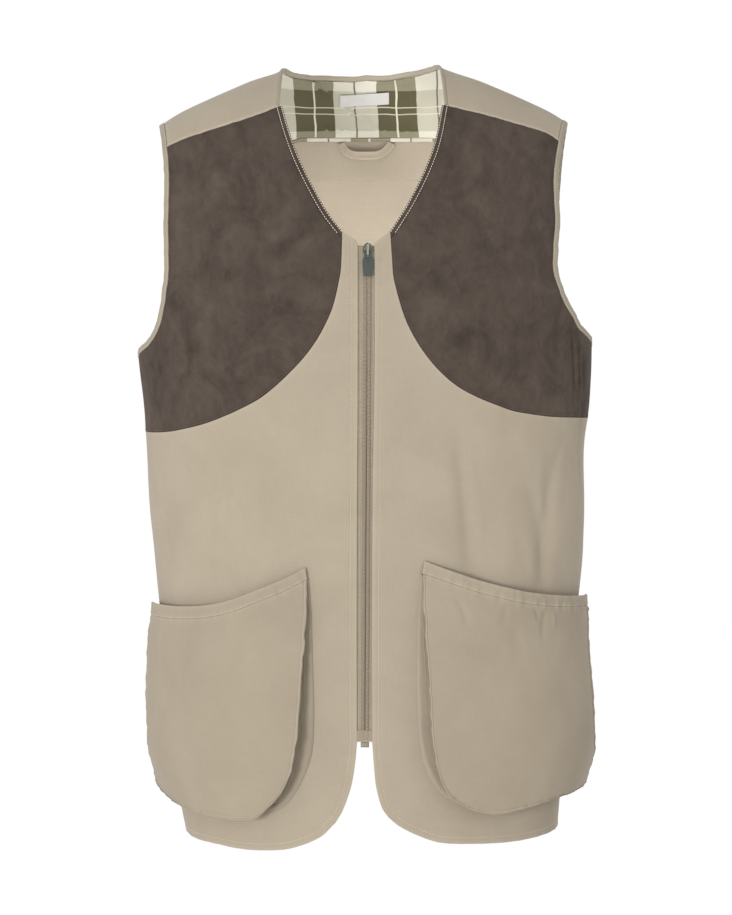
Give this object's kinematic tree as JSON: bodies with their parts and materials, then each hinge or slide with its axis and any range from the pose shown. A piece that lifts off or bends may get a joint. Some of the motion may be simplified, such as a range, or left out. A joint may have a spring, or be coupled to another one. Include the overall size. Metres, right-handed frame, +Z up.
{
  "type": "shooting vest",
  "caption": "Sleeveless tan cotton shooting vest, filled out as worn, with suede shoulder patches, a front zip and two bellows pockets.",
  "frame": {"origin": "on the centre line of the front, at the height of the shoulder line beside the neck and in its plane, where the wearer's shoulders hold the vest", "axes": "+Z up, the front faces -Y, +X to the right of the front view"},
  "size_m": [0.4723, 0.2475, 0.8013],
  "materials": {
    "cotton": "tan brushed cotton twill",
    "suede": "dark brown suede, mottled nap",
    "binding": "folded cotton binding tape",
    "plaid": "olive and cream checked cotton",
    "label": "white woven label, bare",
    "zip_tape": "zip tape and moulded teeth in tan",
    "slider_metal": "dark antique metal",
    "pull_tab": "matt grey-green moulded pull tab"
  },
  "bodies": {
    "vest": {"armhole_binding_left": "binding", "armhole_binding_right": "binding", "back_panel": "cotton", "front_left": "cotton", "front_right": "cotton", "hang_loop": "cotton", "neck_band_left": "suede", "neck_band_right": "suede", "neck_binding": "binding", "neck_facing": "plaid", "neck_label": "label", "pocket_band_left": "cotton", "pocket_band_right": "cotton", "pocket_face_left": "cotton", "pocket_face_right": "cotton", "pocket_gusset_left": "cotton", "pocket_gusset_right": "cotton", "suede_left": "suede", "suede_right": "suede", "yoke": "cotton", "zip_box": "zip_tape", "zip_chain": "zip_tape", "zip_slider": "slider_metal", "zip_tape_left": "zip_tape", "zip_tape_right": "zip_tape"},
    "pull_tab": {"zip_pull_tab": "pull_tab"}
  },
  "joints": [
    {"name": "pull_tab_hinge", "type": "hinge", "parent": "vest", "child": "pull_tab", "pos_m": [0.00177, -0.11581, -0.19123], "axis": [-1, 0, 0], "range_deg": [0, 165]}
  ]
}
